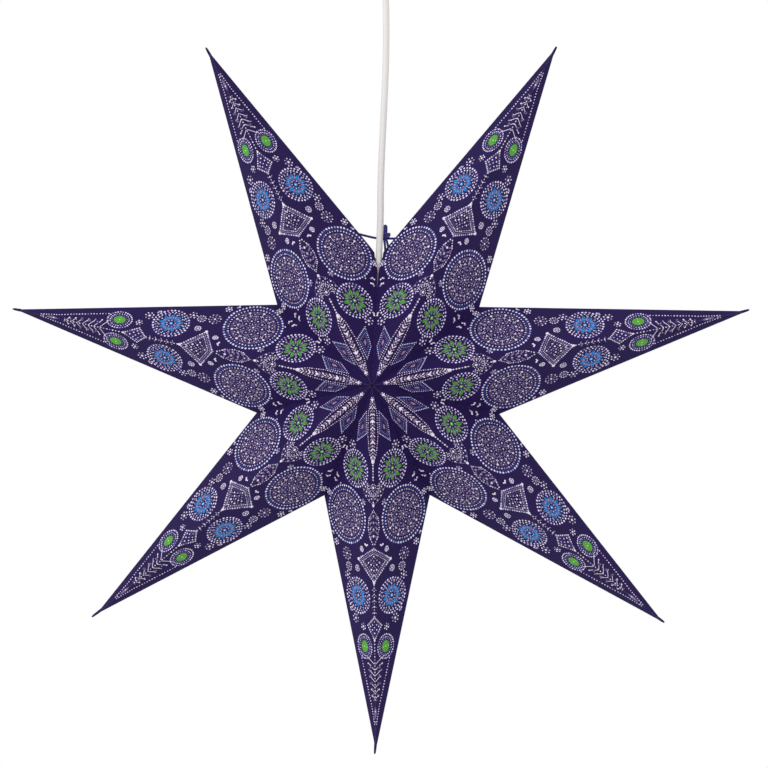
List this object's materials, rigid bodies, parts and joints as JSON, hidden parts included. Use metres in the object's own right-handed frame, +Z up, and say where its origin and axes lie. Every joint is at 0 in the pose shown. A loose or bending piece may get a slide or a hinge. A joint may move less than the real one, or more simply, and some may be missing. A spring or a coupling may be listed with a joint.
{
  "type": "paper star lantern pendant",
  "caption": "Folded star-shaped paper pendant shade with pointed hollow rays, tied round a white mains cable with a small lamp inside, hung from a ceiling rose.",
  "frame": {"origin": "on the ceiling, at the middle of the ceiling bracket's upper face", "axes": "+Z up, the star's printed front faces -Y, +X to the right seen from the front"},
  "size_m": [0.6042, 0.1434, 0.8045],
  "materials": {
    "printed_card": "uncoated 250 g card, printed outside, white inside",
    "blue_cotton": "twisted cotton string",
    "white_pvc": "soft sheath, semi-gloss",
    "brown_pvc": "core insulation",
    "blue_pvc": "core insulation",
    "white_abs": "moulded, fine gloss",
    "white_nylon": "moulded, matt",
    "white_pbt": "moulded, satin",
    "steatite": "fired, unglazed",
    "zinc_plated_steel": "pressed and zinc plated",
    "brass": "machined or pressed",
    "nickel_plate": "plated, rolled thread",
    "black_glass": "fused bead",
    "opal_diffuser": "blown opal plastic"
  },
  "bodies": {
    "ceiling": {"ceiling_bracket": "zinc_plated_steel", "cable_clamp": "white_nylon", "clamp_screws": "zinc_plated_steel", "terminal_block": "white_nylon", "terminal_inserts": "brass", "terminal_screws": "zinc_plated_steel", "terminal_block_screw": "zinc_plated_steel", "core_brown_top": "brown_pvc", "core_blue_top": "blue_pvc", "cable_top": "white_pvc"},
    "canopy": {"canopy_cup": "white_abs", "canopy_grip": "white_abs", "canopy_grip_nut": "white_abs", "canopy_grip_screw": "white_nylon"},
    "pendant": {"cable_drop": "white_pvc", "holder_grip": "white_pbt", "holder_grip_screw": "white_nylon", "holder_cap": "white_pbt", "holder_skirt": "white_pbt", "holder_insert": "steatite", "holder_terminals": "brass", "holder_thread_shell": "brass", "holder_centre_contact": "brass", "core_brown_lamp": "brown_pvc", "core_blue_lamp": "blue_pvc"},
    "bulb": {"bulb_cap": "nickel_plate", "bulb_insulator": "black_glass", "bulb_tip": "nickel_plate", "bulb_collar": "white_pbt", "bulb_globe": "opal_diffuser"},
    "star": {"ray_1": "printed_card", "ray_2": "printed_card", "ray_3": "printed_card", "ray_4": "printed_card", "ray_5": "printed_card", "ray_6": "printed_card", "ray_7": "printed_card", "seam_tie_front": "blue_cotton", "seam_tie_back": "blue_cotton", "tie_string": "blue_cotton", "tie_loop": "blue_cotton"}
  },
  "joints": [
    {"name": "canopy_slide", "type": "slide", "parent": "ceiling", "child": "canopy", "axis": [0, 0, -1], "range_m": [0, 0.045]},
    {"name": "pendant_swing", "type": "hinge", "parent": "ceiling", "child": "pendant", "pos_m": [0, 0, -0.1245], "axis": [0, 1, 0], "range_deg": [-15, 15]},
    {"name": "star_turn", "type": "hinge", "parent": "pendant", "child": "star", "pos_m": [0, 0, -0.4965], "axis": [0, 0, 1], "range_deg": [-180, 180]},
    {"name": "bulb_turn", "type": "hinge", "parent": "pendant", "child": "bulb", "pos_m": [0, 0, -0.4965], "axis": [0, 0, 1], "range_deg": [-1080, 0]}
  ]
}
